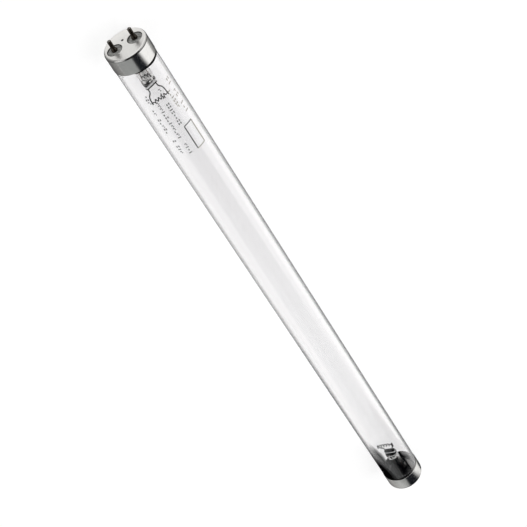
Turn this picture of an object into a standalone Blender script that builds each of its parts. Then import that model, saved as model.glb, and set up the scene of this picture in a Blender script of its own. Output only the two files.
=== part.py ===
"""Germicidal lamp tube with a two-pin cap at each end, lying on its side.

Metres, +Z up. The tube's axis runs along X, end a is at -X and end b at +X.
The origin is on the ground under the middle of the tube.
Every piece of an end is modelled in that end's own frame: depth runs along
+X from the base face into the tube, and the two pins stand apart along Y.
"""

import math

import bmesh
import bpy
from mathutils import Matrix

# Bulb
BASE_FACE_SPAN = 0.4374
GLASS_DIAMETER = 0.0254
GLASS_WALL = 0.0009
BULB_END_DEPTH = 0.0056
MOUTH_ROUND = 0.0020
SHOULDER_LENGTH = 0.0046
SHOULDER_OVERHANG = 0.0020

# Gaps between pieces
CLEARANCE = 0.0003
WIRE_CLEARANCE = 0.0001

# Cap
CAP_STEP = 0.00025
CAP_WALL = 0.0004
CAP_RIM_RADIUS = 0.0012
SKIRT_LENGTH = 0.0114
VENT_DIAMETER = 0.0010
VENT_DROP = 0.0042

# Basing cement
CEMENT_THICKNESS = 0.0007
CEMENT_SETBACK = 0.0009

# Insulating plate with its two bosses
PLATE_THICKNESS = 0.0013
PLATE_CHAMFER = 0.0003
BOSS_DIAMETER = 0.0086
BOSS_RECESS = 0.00035

# Contact pins
PIN_SPACING = 0.0127
PIN_DIAMETER = 0.00235
PIN_LENGTH = 0.0071
PIN_BORE = 0.0011
PIN_TIP_ROUND = 0.0004
FOOT_DIAMETER = 0.0035
FOOT_HEIGHT = 0.0008
FOOT_TAPER = 0.0016
RIVET_DIAMETER = 0.0036
RIVET_THICKNESS = 0.0006
CRIMP_HEIGHT = 0.0044
CRIMP_DEPTH = 0.0003
CRIMP_RADIUS = 0.0006

# Glass stem and its press
STEM_WALL = 0.0009
STEM_DIAMETER = 0.0090
PRESS_DEPTH = 0.0322
PRESS_LENGTH = 0.0024
PRESS_BLEND = 0.0030
PRESS_WIDTH = 0.0076
PRESS_NARROWING = 0.0004
PRESS_EDGE = 0.0008
PRESS_THICKNESS = 0.0025
PRESS_ROUND = 0.0003
PRESS_SQUARENESS = 6
EXHAUST_HOLE = 0.0014
PRESS_TURN = {"a": math.radians(-20), "b": math.radians(-30)}

# Exhaust tube
EXHAUST_DIAMETER = 0.0030
EXHAUST_WALL = 0.0005
EXHAUST_TIP_DEPTH = 0.0043
EXHAUST_TIP_LENGTH = 0.0026
EXHAUST_TIP_WALL = 0.0015

# Wires and the coiled electrode
LEAD_DIAMETER = 0.0005
LEAD_BEND_LENGTH = 0.0018
WIRE_BEND_DIAMETERS = 2
SUPPORT_DIAMETER = 0.0007
WELD_INSET = 0.0020
SUPPORT_STRAIGHT = 0.0031
SUPPORT_KINK = 0.0013
SUPPORT_SPREAD = 0.0094
COIL_REACH = 0.0088
COIL_RISE = 0.0020
COIL_SPAN = 0.0102
COIL_DIAMETER = 0.0023
COIL_WIRE = 0.0006
COIL_LEG = 0.0013
COIL_TURNS = 4
COIL_TURN = {"a": math.radians(-5), "b": math.radians(-28)}
HOOK_TAIL = 0.0012

# Mercury
DROP_DIAMETER = 0.0010
DROP_SETBACK = 0.0028
DROP_FLATTENING = 0.8

# Facets
ROUND_SEGMENTS = 40
STEM_SEGMENTS = 24
BOSS_SEGMENTS = 24
SMALL_SEGMENTS = 16
TINY_SEGMENTS = 12
ARC_STEPS = 3
WIDE_ARC_STEPS = 4
SHOULDER_STEPS = 4
PRESS_STEPS = 4
BEND_STEPS = 2
COIL_STEPS = 10
ROUND_SQUARENESS = 2
BEND_SHARE_LIMIT = 0.45
SHARP_ANGLE = math.radians(32)
MERGE_DISTANCE = 0.000001
CUT_MARGIN = 0.001

# Sizes that follow from those above
GLASS_RADIUS = GLASS_DIAMETER / 2
CAP_RADIUS = GLASS_RADIUS + CAP_STEP
CAP_BORE = CAP_RADIUS - CAP_WALL
CEMENT_RADIUS = CAP_BORE - CLEARANCE
NECK_RADIUS = CEMENT_RADIUS - CEMENT_THICKNESS - CLEARANCE
MOUTH_RADIUS = NECK_RADIUS - MOUTH_ROUND
SHOULDER_END = SKIRT_LENGTH + SHOULDER_OVERHANG
SHOULDER_START = SHOULDER_END - SHOULDER_LENGTH
NECK_START = BULB_END_DEPTH + MOUTH_ROUND
CEMENT_END = SKIRT_LENGTH - CEMENT_SETBACK
AXIS_HEIGHT = CAP_RADIUS * math.cos(math.pi / ROUND_SEGMENTS)
PIN_RADIUS = PIN_DIAMETER / 2
PIN_OFFSET = PIN_SPACING / 2
PLATE_DEPTH = CAP_WALL + CLEARANCE
PLATE_BACK = PLATE_DEPTH + PLATE_THICKNESS
RIM_INNER_RADIUS = CAP_RIM_RADIUS - CAP_WALL
PLATE_RADIUS = CAP_BORE - RIM_INNER_RADIUS - CLEARANCE
PIN_BACK = PLATE_BACK + CLEARANCE + RIVET_THICKNESS
FLARE_RADIUS = MOUTH_RADIUS - CLEARANCE
FLARE_ROUND = FLARE_RADIUS - STEM_DIAMETER / 2
FLARE_END = BULB_END_DEPTH + STEM_WALL + FLARE_ROUND
STEM_TIP_RADIUS = (PRESS_WIDTH + PRESS_NARROWING) / 2
HOLLOW_RADIUS = STEM_TIP_RADIUS - STEM_WALL
LEAD_OFFSET = PRESS_WIDTH / 2 - PRESS_EDGE
PRESS_START = PRESS_DEPTH - PRESS_LENGTH
NECK_DOWN = PRESS_START - PRESS_BLEND
WELD_DEPTH = PRESS_DEPTH - WELD_INSET
HOLLOW_END = PRESS_START - STEM_WALL
EXHAUST_SEAT = HOLLOW_END - EXHAUST_DIAMETER
LEAD_BEND_START = EXHAUST_SEAT - STEM_WALL
LEAD_BEND_END = LEAD_BEND_START - LEAD_BEND_LENGTH
EXHAUST_HOLE_DEPTH = HOLLOW_END - EXHAUST_HOLE
EXHAUST_END = EXHAUST_HOLE_DEPTH - EXHAUST_HOLE / 2 - CLEARANCE
EXHAUST_SEAT_RADIUS = EXHAUST_DIAMETER / 2 + CLEARANCE
COIL_DEPTH = PRESS_DEPTH + COIL_REACH
COIL_LENGTH = COIL_SPAN - 2 * COIL_LEG
HOOK_RADIUS = COIL_WIRE / 2 + WIRE_CLEARANCE + SUPPORT_DIAMETER / 2


def clear_scene():
    for item in list(bpy.data.objects):
        bpy.data.objects.remove(item, do_unlink=True)


def material(name, colour, roughness, metallic=0.0, transmission=0.0):
    made = bpy.data.materials.new(name)
    made.use_nodes = True
    shader = made.node_tree.nodes["Principled BSDF"]
    shader.inputs["Base Color"].default_value = (*colour, 1.0)
    shader.inputs["Roughness"].default_value = roughness
    shader.inputs["Metallic"].default_value = metallic
    shader.inputs["Transmission Weight"].default_value = transmission
    return made


def add_object(name, data, parent, made_of):
    item = bpy.data.objects.new(name, data)
    bpy.context.scene.collection.objects.link(item)
    item.parent = parent
    if made_of and not data.materials:
        data.materials.append(made_of)
    return item


def finished_mesh(bm, name):
    bmesh.ops.remove_doubles(bm, verts=bm.verts, dist=MERGE_DISTANCE)
    bmesh.ops.recalc_face_normals(bm, faces=bm.faces)
    mesh = bpy.data.meshes.new(name)
    bm.to_mesh(mesh)
    bm.free()
    mesh.shade_smooth()
    mesh.set_sharp_from_angle(angle=SHARP_ANGLE)
    return mesh


def arc(centre, radius, start, end, steps):
    """Points (depth, radius) on an arc, with its angles in degrees."""
    angles = [math.radians(start + (end - start) * i / steps) for i in range(steps + 1)]
    return [
        (centre[0] + radius * math.cos(angle), centre[1] + radius * math.sin(angle))
        for angle in angles
    ]


def turned_mesh(name, profile, segments, ring=False):
    """Spin a (depth, radius) profile about the X axis.

    A ring profile closes on itself. Any other profile has its two ends on
    the axis or gets a flat disc over each end. A flat side faces down.
    """
    bm = bmesh.new()
    verts = [bm.verts.new((depth, 0.0, -radius)) for depth, radius in profile]
    pairs = list(zip(verts, verts[1:]))
    if ring:
        pairs.append((verts[-1], verts[0]))
    edges = [bm.edges.new(pair) for pair in pairs]
    half_step = Matrix.Rotation(math.pi / segments, 3, "X")
    bmesh.ops.rotate(bm, verts=verts, cent=(0, 0, 0), matrix=half_step)
    bmesh.ops.spin(
        bm,
        geom=verts + edges,
        cent=(0, 0, 0),
        axis=(1, 0, 0),
        angle=2 * math.pi,
        steps=segments,
        use_merge=True,
    )
    bmesh.ops.remove_doubles(bm, verts=bm.verts, dist=MERGE_DISTANCE)
    bmesh.ops.holes_fill(bm, edges=bm.edges, sides=0)
    return finished_mesh(bm, name)


def lofted_mesh(name, sections, segments):
    """Skin a row of sections (depth, half width, half height, squareness).

    A squareness of 2 is an ellipse, and a larger value a rounded rectangle.
    """
    bm = bmesh.new()
    rings = []
    for depth, half_width, half_height, squareness in sections:
        ring = []
        for i in range(segments):
            angle = 2 * math.pi * (i + 0.5) / segments
            power = ROUND_SQUARENESS / squareness
            y = half_width * signed_power(math.cos(angle), power)
            z = half_height * signed_power(math.sin(angle), power)
            ring.append(bm.verts.new((depth, y, z)))
        rings.append(ring)
    for first, second in zip(rings, rings[1:]):
        for i in range(segments):
            j = (i + 1) % segments
            bm.faces.new((first[i], first[j], second[j], second[i]))
    bm.faces.new(rings[0])
    bm.faces.new(rings[-1])
    return finished_mesh(bm, name)


def signed_power(value, power):
    return math.copysign(abs(value) ** power, value)


def rod(name, axis, centre, radius, length, parent, segments=SMALL_SEGMENTS):
    """A plain round bar, used for cutting holes and adding bosses."""
    bm = bmesh.new()
    bmesh.ops.create_cone(
        bm,
        cap_ends=True,
        segments=segments,
        radius1=radius,
        radius2=radius,
        depth=length,
    )
    item = add_object(name, finished_mesh(bm, name), parent, None)
    turns = {"X": (0, math.pi / 2, 0), "Y": (math.pi / 2, 0, 0), "Z": (0, 0, 0)}
    item.rotation_euler = turns[axis]
    item.location = centre
    item.hide_render = True
    item.display_type = "WIRE"
    return item


def with_booleans(item, steps):
    """Apply (operation, helper) Boolean steps and give the finished mesh."""
    for operation, helper in steps:
        modifier = item.modifiers.new(helper.name, "BOOLEAN")
        modifier.operation = operation
        modifier.object = helper
        modifier.solver = "EXACT"
    bpy.context.view_layer.update()
    evaluated = item.evaluated_get(bpy.context.evaluated_depsgraph_get())
    mesh = bpy.data.meshes.new_from_object(evaluated)
    mesh.name = item.name
    mesh.shade_smooth()
    mesh.set_sharp_from_angle(angle=SHARP_ANGLE)
    for _, helper in steps:
        bpy.data.objects.remove(helper, do_unlink=True)
    bpy.data.objects.remove(item, do_unlink=True)
    return mesh


def wire_curve(name, points, diameter):
    """A round wire along a row of points, closed at both ends."""
    curve = bpy.data.curves.new(name, "CURVE")
    curve.dimensions = "3D"
    curve.bevel_depth = diameter / 2
    curve.bevel_resolution = 2
    curve.use_fill_caps = True
    spline = curve.splines.new("POLY")
    spline.points.add(len(points) - 1)
    for point, place in zip(spline.points, points):
        point.co = (*place, 1.0)
    return curve


def turned_point(depth, across, up, angle):
    """A point of a frame that is turned about the tube's axis."""
    cos, sin = math.cos(angle), math.sin(angle)
    return (depth, across * cos - up * sin, across * sin + up * cos)


def rounded_path(corners, diameter):
    """Replace each inner corner of a wire's path by a short curve."""
    radius = WIRE_BEND_DIAMETERS * diameter
    path = [corners[0]]
    for before, corner, after in zip(corners, corners[1:], corners[2:]):
        back = shortened(corner, before, radius)
        on = shortened(corner, after, radius)
        for i in range(BEND_STEPS + 1):
            t = i / BEND_STEPS
            path.append(
                tuple(
                    (1 - t) ** 2 * a + 2 * t * (1 - t) * b + t**2 * c
                    for a, b, c in zip(back, corner, on)
                )
            )
    path.append(corners[-1])
    return path


def shortened(start, end, distance):
    """The point at a distance from start towards end, at most halfway."""
    length = math.dist(start, end)
    share = min(distance / length, BEND_SHARE_LIMIT)
    return tuple(a + (b - a) * share for a, b in zip(start, end))


def shoulder_radius(depth):
    """The bulb's outer radius, drawn in smoothly from full size to the neck."""
    share = (depth - SHOULDER_START) / SHOULDER_LENGTH
    share = min(max(share, 0.0), 1.0)
    ease = (1 - math.cos(math.pi * share)) / 2
    return NECK_RADIUS + (GLASS_RADIUS - NECK_RADIUS) * ease


def bulb_end_profile(inset):
    """One end of the bulb from its mouth inwards, set in from the outside."""
    centre = (NECK_START, MOUTH_RADIUS)
    profile = arc(centre, MOUTH_ROUND - inset, 180, 90, ARC_STEPS)
    for i in range(SHOULDER_STEPS + 1):
        depth = SHOULDER_START + SHOULDER_LENGTH * i / SHOULDER_STEPS
        profile.append((depth, shoulder_radius(depth) - inset))
    return profile


def bulb_mesh():
    near_outside = bulb_end_profile(0.0)
    near_inside = bulb_end_profile(GLASS_WALL)
    middle = BASE_FACE_SPAN / 2
    outside = [(depth - middle, radius) for depth, radius in near_outside]
    inside = [(depth - middle, radius) for depth, radius in near_inside]
    outside += [(-depth, radius) for depth, radius in reversed(outside)]
    inside += [(-depth, radius) for depth, radius in reversed(inside)]
    return turned_mesh("glass_tube", outside + inside[::-1], ROUND_SEGMENTS, ring=True)


def cap_mesh(parent):
    """Drawn cup with a rounded rim, two holes for the pins and a vent."""
    rim_centre = (CAP_RIM_RADIUS, CAP_RADIUS - CAP_RIM_RADIUS)
    outside = arc(rim_centre, CAP_RIM_RADIUS, 180, 90, WIDE_ARC_STEPS)
    outside.append((SKIRT_LENGTH, CAP_RADIUS))
    inside = arc(rim_centre, RIM_INNER_RADIUS, 180, 90, WIDE_ARC_STEPS)
    inside.append((SKIRT_LENGTH, CAP_BORE))
    mesh = turned_mesh("cap_blank", outside + inside[::-1], ROUND_SEGMENTS)
    blank = add_object("cap_blank", mesh, parent, None)
    hole_radius = BOSS_DIAMETER / 2 + CLEARANCE
    length = CAP_WALL + 2 * CUT_MARGIN
    steps = []
    for side in (-1, 1):
        centre = (CAP_WALL / 2, side * PIN_OFFSET, 0)
        cutter = rod("pin_hole", "X", centre, hole_radius, length, parent, BOSS_SEGMENTS)
        steps.append(("DIFFERENCE", cutter))
    centre = (CAP_WALL / 2, 0, -VENT_DROP)
    vent = rod("vent", "X", centre, VENT_DIAMETER / 2, length, parent, TINY_SEGMENTS)
    steps.append(("DIFFERENCE", vent))
    return with_booleans(blank, steps)


def cement_mesh():
    """Ring of cement between the cap's skirt and the bulb's neck."""
    steps = SHOULDER_STEPS
    depths = [NECK_START + (CEMENT_END - NECK_START) * i / steps for i in range(steps + 1)]
    inside = [(depth, shoulder_radius(depth) + CLEARANCE) for depth in depths]
    outside = [(CEMENT_END, CEMENT_RADIUS), (NECK_START, CEMENT_RADIUS)]
    return turned_mesh("cement", inside + outside, ROUND_SEGMENTS, ring=True)


def insulator_mesh(parent):
    """Round plate with two bosses that fill the cap's holes."""
    profile = [
        (PLATE_DEPTH, PLATE_RADIUS - PLATE_CHAMFER),
        (PLATE_DEPTH + PLATE_CHAMFER, PLATE_RADIUS),
        (PLATE_BACK, PLATE_RADIUS),
    ]
    blank = add_object(
        "plate_blank", turned_mesh("plate_blank", profile, ROUND_SEGMENTS), parent, None
    )
    boss_back = PLATE_DEPTH + PLATE_THICKNESS / 2
    boss_length = boss_back - BOSS_RECESS
    boss_middle = (boss_back + BOSS_RECESS) / 2
    hole_length = PLATE_BACK + 2 * CUT_MARGIN
    steps = []
    for side in (-1, 1):
        centre = (boss_middle, side * PIN_OFFSET, 0)
        boss = rod("boss", "X", centre, BOSS_DIAMETER / 2, boss_length, parent, BOSS_SEGMENTS)
        steps.append(("UNION", boss))
    for side in (-1, 1):
        centre = (PLATE_BACK / 2, side * PIN_OFFSET, 0)
        radius = PIN_RADIUS + WIRE_CLEARANCE
        hole = rod("shank_hole", "X", centre, radius, hole_length, parent)
        steps.append(("DIFFERENCE", hole))
    return with_booleans(blank, steps)


def pin_mesh(parent):
    """Hollow pin, flared at its foot and riveted over behind the plate."""
    foot = BOSS_RECESS - WIRE_CLEARANCE
    tip = -PIN_LENGTH
    outside = [
        (tip, PIN_RADIUS - PIN_TIP_ROUND),
        (tip + PIN_TIP_ROUND, PIN_RADIUS),
        (foot - FOOT_HEIGHT - FOOT_TAPER, PIN_RADIUS),
        (foot - FOOT_HEIGHT, FOOT_DIAMETER / 2),
        (foot, FOOT_DIAMETER / 2),
        (foot, PIN_RADIUS),
        (PLATE_BACK + CLEARANCE, PIN_RADIUS),
        (PLATE_BACK + CLEARANCE, RIVET_DIAMETER / 2),
        (PIN_BACK, RIVET_DIAMETER / 2),
    ]
    inside = [(PIN_BACK, PIN_BORE / 2), (tip, PIN_BORE / 2)]
    mesh = turned_mesh("pin_blank", outside + inside, SMALL_SEGMENTS, ring=True)
    blank = add_object("pin_blank", mesh, parent, None)
    steps = []
    for side in (-1, 1):
        height = side * (PIN_RADIUS - CRIMP_DEPTH + CRIMP_RADIUS)
        centre = (-CRIMP_HEIGHT, 0, height)
        dent = rod("dent", "Y", centre, CRIMP_RADIUS, 2 * PIN_DIAMETER, parent, TINY_SEGMENTS)
        steps.append(("DIFFERENCE", dent))
    return with_booleans(blank, steps)


def stem_mesh(parent):
    """Flared glass tube, flattened at its tip into the press.

    The sections run from the closed end of the hollow out to the flare's
    rim, over the rim, and back along the outside to the end of the press.
    """
    rim = (FLARE_END, FLARE_RADIUS)
    base_side = arc(rim, FLARE_ROUND + STEM_WALL, 180, 270, WIDE_ARC_STEPS)
    lamp_side = arc(rim, FLARE_ROUND, 180, 270, WIDE_ARC_STEPS)
    turned_part = [
        (HOLLOW_END, EXHAUST_SEAT_RADIUS),
        (EXHAUST_SEAT, EXHAUST_SEAT_RADIUS),
        (EXHAUST_SEAT - STEM_WALL, HOLLOW_RADIUS),
    ]
    turned_part += base_side[::-1] + lamp_side
    sections = [(depth, radius, radius, ROUND_SQUARENESS) for depth, radius in turned_part]
    wide, thick = PRESS_WIDTH / 2, PRESS_THICKNESS / 2
    for i in range(PRESS_STEPS + 1):
        share = i / PRESS_STEPS
        roundness = math.cos(math.pi / 2 * share)
        depth = NECK_DOWN + PRESS_BLEND * share
        half_width = wide + (STEM_TIP_RADIUS - wide) * roundness
        half_height = thick + (STEM_TIP_RADIUS - thick) * roundness
        squareness = PRESS_SQUARENESS + (ROUND_SQUARENESS - PRESS_SQUARENESS) * roundness
        sections.append((depth, half_width, half_height, squareness))
    sections.append((PRESS_DEPTH - PRESS_ROUND, wide, thick, PRESS_SQUARENESS))
    sections.append((PRESS_DEPTH, wide - PRESS_ROUND, thick - PRESS_ROUND, PRESS_SQUARENESS))
    mesh = lofted_mesh("stem_blank", sections, STEM_SEGMENTS)
    blank = add_object("stem_blank", mesh, parent, None)
    hole_start = LEAD_BEND_END
    hole_end = PRESS_DEPTH + CUT_MARGIN
    hole_radius = max(LEAD_DIAMETER, SUPPORT_DIAMETER) / 2 + WIRE_CLEARANCE
    steps = []
    for side in (-1, 1):
        centre = ((hole_start + hole_end) / 2, side * LEAD_OFFSET, 0)
        length = hole_end - hole_start
        hole = rod("lead_hole", "X", centre, hole_radius, length, parent, TINY_SEGMENTS)
        steps.append(("DIFFERENCE", hole))
    reach = 2 * STEM_TIP_RADIUS
    centre = (EXHAUST_HOLE_DEPTH, 0, reach / 2)
    hole = rod("exhaust_hole", "Z", centre, EXHAUST_HOLE / 2, reach, parent, TINY_SEGMENTS)
    steps.append(("DIFFERENCE", hole))
    return with_booleans(blank, steps)


def exhaust_mesh():
    """Thin tube, open in the stem's seat and melted shut inside the cap."""
    radius = EXHAUST_DIAMETER / 2
    bore = radius - EXHAUST_WALL
    tip_end = EXHAUST_TIP_DEPTH + EXHAUST_TIP_LENGTH
    profile = [
        (EXHAUST_TIP_DEPTH, 0.0),
        (EXHAUST_TIP_DEPTH + EXHAUST_WALL, radius / 2),
        (tip_end, radius),
        (EXHAUST_END, radius),
        (EXHAUST_END, bore),
        (tip_end, bore),
        (EXHAUST_TIP_DEPTH + EXHAUST_TIP_WALL, 0.0),
    ]
    return turned_mesh("exhaust_tube", profile, SMALL_SEGMENTS)


def outer_lead(name, side, press_turn):
    """Wire from the press down the hollow stem and out into a pin."""
    spread = side * LEAD_OFFSET
    in_stem = side * (EXHAUST_DIAMETER / 2 + HOLLOW_RADIUS) / 2
    flare_gap = (PIN_BACK + BULB_END_DEPTH) / 2
    pin_side = side * PIN_OFFSET
    corners = [
        turned_point(WELD_DEPTH - WIRE_CLEARANCE, spread, 0, press_turn),
        turned_point(LEAD_BEND_START, spread, 0, press_turn),
        turned_point(LEAD_BEND_END, in_stem, 0, press_turn),
        turned_point(BULB_END_DEPTH + STEM_WALL, in_stem, 0, press_turn),
        (flare_gap, (in_stem + pin_side) / 2, 0),
        (flare_gap, pin_side, 0),
        (-PIN_LENGTH + PIN_TIP_ROUND, pin_side, 0),
    ]
    return wire_curve(name, rounded_path(corners, LEAD_DIAMETER), LEAD_DIAMETER)


def support_wire(name, side, press_turn, coil_turn):
    """Wire that leaves the press straight, kinks outwards and hooks round the coil's leg."""
    spread = side * LEAD_OFFSET
    wide = side * SUPPORT_SPREAD / 2
    reach = side * COIL_SPAN / 2
    kink = PRESS_DEPTH + SUPPORT_STRAIGHT
    hook_start = COIL_DEPTH - 2 * HOOK_RADIUS
    low = COIL_RISE - HOOK_RADIUS
    halfway = (press_turn + coil_turn) / 2
    corners = [
        turned_point(WELD_DEPTH + WIRE_CLEARANCE, spread, 0, press_turn),
        turned_point(kink, spread, 0, press_turn),
        turned_point(kink + SUPPORT_KINK, wide, low / 2, halfway),
        turned_point(hook_start, reach, low, coil_turn),
        turned_point(COIL_DEPTH, reach, low, coil_turn),
    ]
    path = rounded_path(corners, SUPPORT_DIAMETER)
    for depth, up in arc((COIL_DEPTH, COIL_RISE), HOOK_RADIUS, -90, 90, WIDE_ARC_STEPS)[1:]:
        path.append(turned_point(depth, reach, up, coil_turn))
    high = COIL_RISE + HOOK_RADIUS
    path.append(turned_point(COIL_DEPTH - HOOK_TAIL, reach, high, coil_turn))
    return wire_curve(name, path, SUPPORT_DIAMETER)


def filament_curve(name, coil_turn):
    """The coiled electrode: a straight leg, the turns, and a straight leg."""
    half_length = COIL_LENGTH / 2
    leg_end = COIL_SPAN / 2 + SUPPORT_DIAMETER
    radius = (COIL_DIAMETER - COIL_WIRE) / 2
    steps = COIL_STEPS * COIL_TURNS
    points = [turned_point(COIL_DEPTH, -leg_end, COIL_RISE, coil_turn)]
    points.append(turned_point(COIL_DEPTH, -half_length - COIL_WIRE, COIL_RISE, coil_turn))
    for i in range(steps + 1):
        share = i / steps
        angle = 2 * math.pi * COIL_TURNS * share
        across = -half_length + COIL_LENGTH * share
        depth = COIL_DEPTH + radius * math.cos(angle)
        up = COIL_RISE + radius * math.sin(angle)
        points.append(turned_point(depth, across, up, coil_turn))
    points.append(turned_point(COIL_DEPTH, half_length + COIL_WIRE, COIL_RISE, coil_turn))
    points.append(turned_point(COIL_DEPTH, leg_end, COIL_RISE, coil_turn))
    return wire_curve(name, points, COIL_WIRE)


def add_mercury(parent, made_of):
    """A small drop that lies loose on the bottom of the bulb."""
    bm = bmesh.new()
    bmesh.ops.create_icosphere(bm, subdivisions=2, radius=DROP_DIAMETER / 2)
    item = add_object("mercury_drop", finished_mesh(bm, "mercury_drop"), parent, made_of)
    flat_inside = (GLASS_RADIUS - GLASS_WALL) * math.cos(math.pi / ROUND_SEGMENTS)
    half_height = DROP_DIAMETER / 2 * DROP_FLATTENING
    depth = SHOULDER_END + DROP_SETBACK
    item.location = (depth, 0, -flat_inside + half_height + WIRE_CLEARANCE)
    item.scale = (1, 1, DROP_FLATTENING)


def end_frame(name, end):
    """An empty at a base face, turned so that +X points into the tube."""
    frame = add_object(f"{name}_{end}", None, None, None)
    side = -1 if end == "a" else 1
    frame.location = (side * BASE_FACE_SPAN / 2, 0, AXIS_HEIGHT)
    frame.rotation_euler = (0, 0, 0 if end == "a" else math.pi)
    return frame


def build():
    clear_scene()
    clear_glass = material("clear_glass", (0.90, 0.93, 0.93), 0.03, 0.0, 1.0)
    stem_glass = material("stem_glass", (0.72, 0.75, 0.72), 0.08, 0.0, 0.8)
    aluminium = material("aluminium", (0.78, 0.78, 0.77), 0.25, 1.0)
    board = material("insulating_board", (0.25, 0.25, 0.23), 0.70)
    pin_metal = material("pin_metal", (0.30, 0.27, 0.22), 0.30, 1.0)
    cement = material("cement", (0.05, 0.05, 0.05), 0.85)
    nickel_wire = material("nickel_wire", (0.35, 0.34, 0.33), 0.35, 1.0)
    copper_wire = material("copper_wire", (0.55, 0.30, 0.20), 0.35, 1.0)
    coil_metal = material("coil_metal", (0.08, 0.08, 0.08), 0.55, 0.6)
    mercury = material("mercury", (0.80, 0.80, 0.82), 0.05, 1.0)

    bulb = add_object("glass_tube", bulb_mesh(), None, clear_glass)
    bulb.location = (0, 0, AXIS_HEIGHT)

    workshop = add_object("workshop", None, None, None)
    shared = {
        "cap": (cap_mesh(workshop), aluminium),
        "insulator": (insulator_mesh(workshop), board),
        "cement": (cement_mesh(), cement),
        "exhaust_tube": (exhaust_mesh(), stem_glass),
    }
    pin = pin_mesh(workshop)
    stem = stem_mesh(workshop)
    bpy.data.objects.remove(workshop, do_unlink=True)

    for end in ("a", "b"):
        frame = end_frame("end", end)
        press_turn, coil_turn = PRESS_TURN[end], COIL_TURN[end]
        for name, (mesh, made_of) in shared.items():
            add_object(f"{name}_{end}", mesh, frame, made_of)
        mount = add_object(f"stem_{end}", stem, frame, stem_glass)
        mount.rotation_euler = (press_turn, 0, 0)
        for number, side in ((1, -1), (2, 1)):
            tag = f"{end}{number}"
            contact = add_object(f"pin_{tag}", pin, frame, pin_metal)
            contact.location = (0, side * PIN_OFFSET, 0)
            lead = outer_lead(f"outer_lead_{tag}", side, press_turn)
            add_object(f"outer_lead_{tag}", lead, frame, copper_wire)
            support = support_wire(f"support_wire_{tag}", side, press_turn, coil_turn)
            add_object(f"support_wire_{tag}", support, frame, nickel_wire)
        coil = filament_curve(f"filament_{end}", coil_turn)
        add_object(f"filament_{end}", coil, frame, coil_metal)
        if end == "a":
            add_mercury(frame, mercury)
    bpy.context.view_layer.update()


build()
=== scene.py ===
"""Looks of a clear germicidal lamp tube that lies on a pale floor.

Metres, +Z up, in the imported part's frame: the tube's axis runs along X, end a
is at -X and end b at +X. The pieces of an end are made in that end's own frame:
depth runs along +X from the base face into the tube, and the two pins stand
apart along Y. An angle round the tube is 0 on top and grows towards +Y.
"""

import random
from math import atan2, copysign, cos, degrees, pi, radians, sin, sqrt, tan

import bmesh
import bpy
from mathutils import Matrix, Quaternion, Vector, noise


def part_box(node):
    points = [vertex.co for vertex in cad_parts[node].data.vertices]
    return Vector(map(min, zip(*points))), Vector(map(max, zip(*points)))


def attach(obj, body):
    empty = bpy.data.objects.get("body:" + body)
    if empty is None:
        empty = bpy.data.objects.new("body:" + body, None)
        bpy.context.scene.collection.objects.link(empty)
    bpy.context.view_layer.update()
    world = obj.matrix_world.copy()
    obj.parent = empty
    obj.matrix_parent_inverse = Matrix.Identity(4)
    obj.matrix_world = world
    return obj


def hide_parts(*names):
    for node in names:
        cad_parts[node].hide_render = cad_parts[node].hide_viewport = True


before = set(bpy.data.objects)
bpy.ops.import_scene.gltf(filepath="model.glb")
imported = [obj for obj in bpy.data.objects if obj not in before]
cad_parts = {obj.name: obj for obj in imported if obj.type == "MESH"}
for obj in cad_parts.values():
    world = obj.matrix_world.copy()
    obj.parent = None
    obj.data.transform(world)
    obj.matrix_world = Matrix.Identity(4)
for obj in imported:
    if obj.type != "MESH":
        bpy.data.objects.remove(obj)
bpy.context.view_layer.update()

MM = 0.001
ENDS = ("a", "b")

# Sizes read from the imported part
CAP_LOW, CAP_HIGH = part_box("cap_a")
BASE_X = -CAP_LOW.x
AXIS_HEIGHT = (CAP_LOW.z + CAP_HIGH.z) / 2


def measure(cad_node):
    """The depths where a piece of end a starts and ends, and half its width."""
    low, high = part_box(cad_node)
    return low.x - CAP_LOW.x, high.x - CAP_LOW.x, (high.y - low.y) / 2


SKIRT_LENGTH, CAP_RADIUS = measure("cap_a")[1:]
BULB_END_DEPTH, _, GLASS_RADIUS = measure("glass_tube")
PIN_TIP_DEPTH, PIN_BACK, _ = measure("pin_a1")
PLATE_BACK, PLATE_RADIUS = measure("insulator_a")[1:]
CEMENT_START, CEMENT_END, CEMENT_RADIUS = measure("cement_a")
PRESS_DEPTH, FLARE_RADIUS = measure("stem_a")[1:]
EXHAUST_TIP_DEPTH, EXHAUST_END, _ = measure("exhaust_tube_a")
PIN_LENGTH = -PIN_TIP_DEPTH
PIN_LOW, PIN_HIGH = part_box("pin_a1")
PIN_OFFSET = abs(PIN_LOW.y + PIN_HIGH.y) / 2
COIL_LOW, COIL_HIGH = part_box("filament_a")
COIL_DEPTH = (COIL_LOW.x + COIL_HIGH.x) / 2 - CAP_LOW.x
DROP_LOW, DROP_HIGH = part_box("mercury_drop")

# Bulb
GLASS_WALL = 0.9 * MM
# Painted shade: the glass is tinted grey down the middle of the tube, most towards end a
MID_SHADE_START, MID_SHADE_FULL = 60, -190
MID_SHADE_COLOUR = (0.925, 0.917, 0.921)
MID_SHADE_HALF_WIDTH = (4.0, 8.0)
MID_SHADE_SIDE_SHARE = 0.35
CLEAR_COLOUR = (1.0, 0.9945, 0.996)
GLASS_SHADOW = (0.94, 0.945, 0.95)
# A black patch on one side of the wall beside end b, dull where it is blackest
BLACK_PATCH_START, BLACK_PATCH_FULL = 163, 200
BLACK_PATCH_WIDTH = 6.8
BLACK_PATCH_EDGE = 0.5
BLACK_PATCH_FADE = 2.9
BLACK_PATCH_COLOUR = (0.01, 0.01, 0.01)
DULL_PATCH_START, DULL_PATCH_FULL = 176, 189
DULL_PATCH_COLOUR = (0.002, 0.002, 0.002)
MOUTH_ROUND = 2.0 * MM
SHOULDER_LENGTH = 4.6 * MM
SHOULDER_OVERHANG = 2.0 * MM

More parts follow.
